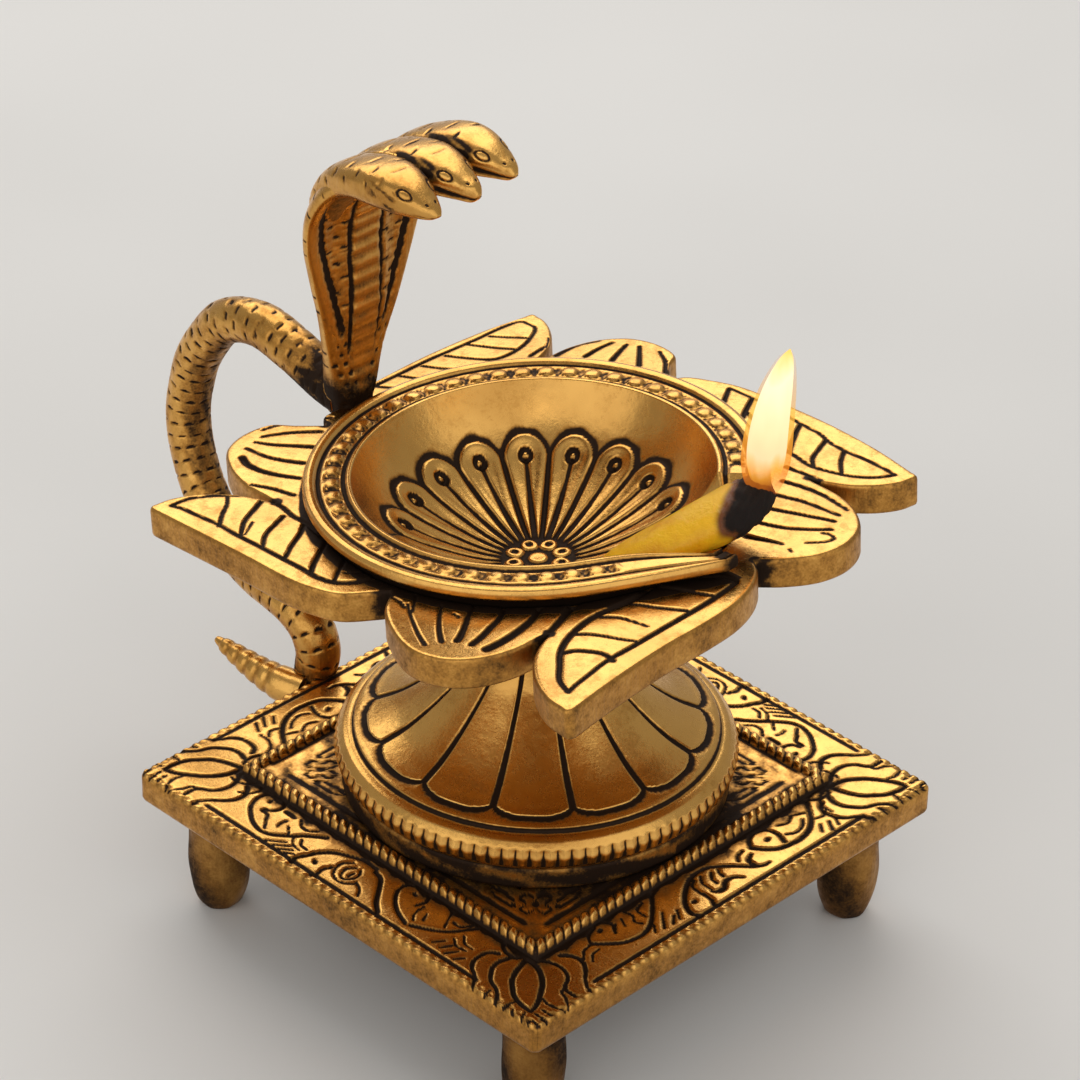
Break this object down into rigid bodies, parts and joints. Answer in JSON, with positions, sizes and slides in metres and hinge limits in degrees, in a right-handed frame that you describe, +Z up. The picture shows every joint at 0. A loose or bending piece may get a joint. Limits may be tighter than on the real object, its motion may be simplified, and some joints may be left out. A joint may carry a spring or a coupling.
{
  "type": "oil lamp",
  "caption": "Brass serpent oil lamp: a round bowl with a pouring lip in a petal tray on a fluted pedestal, a square footed stand, and a hooded serpent handle.",
  "frame": {"origin": "middle of the lamp's bounding box in X and Y, on the surface that the feet stand on", "axes": "+Z up, +X towards the side of the bowl with the mouth, the serpent handle on the -X side, +Y shortest extent"},
  "size_m": [0.1478, 0.1006, 0.1451],
  "materials": {
    "brass": "hand polished, with dark patina left in the recesses",
    "aged_brass": "unpolished, dark patina",
    "screw_brass": "as turned",
    "cotton_wick": "twisted cotton soaked in ghee, charred at its lit end"
  },
  "bodies": {
    "lamp": {"chowki_plate": "brass", "foot_front_left": "aged_brass", "foot_front_right": "aged_brass", "foot_back_left": "aged_brass", "foot_back_right": "aged_brass", "pedestal": "brass", "centre_stud": "screw_brass", "centre_washer": "screw_brass", "centre_nut": "screw_brass", "serpent_handle": "brass", "foot_dowel": "screw_brass", "petal_tray": "brass", "oil_bowl": "brass", "neck_dowel": "screw_brass"},
    "wick": {"wick": "cotton_wick"}
  },
  "joints": [
    {"name": "wick_slide", "type": "slide", "parent": "lamp", "child": "wick", "axis": [0.5502, 0.6735, 0.4936], "range_m": [0, 0.012]}
  ]
}
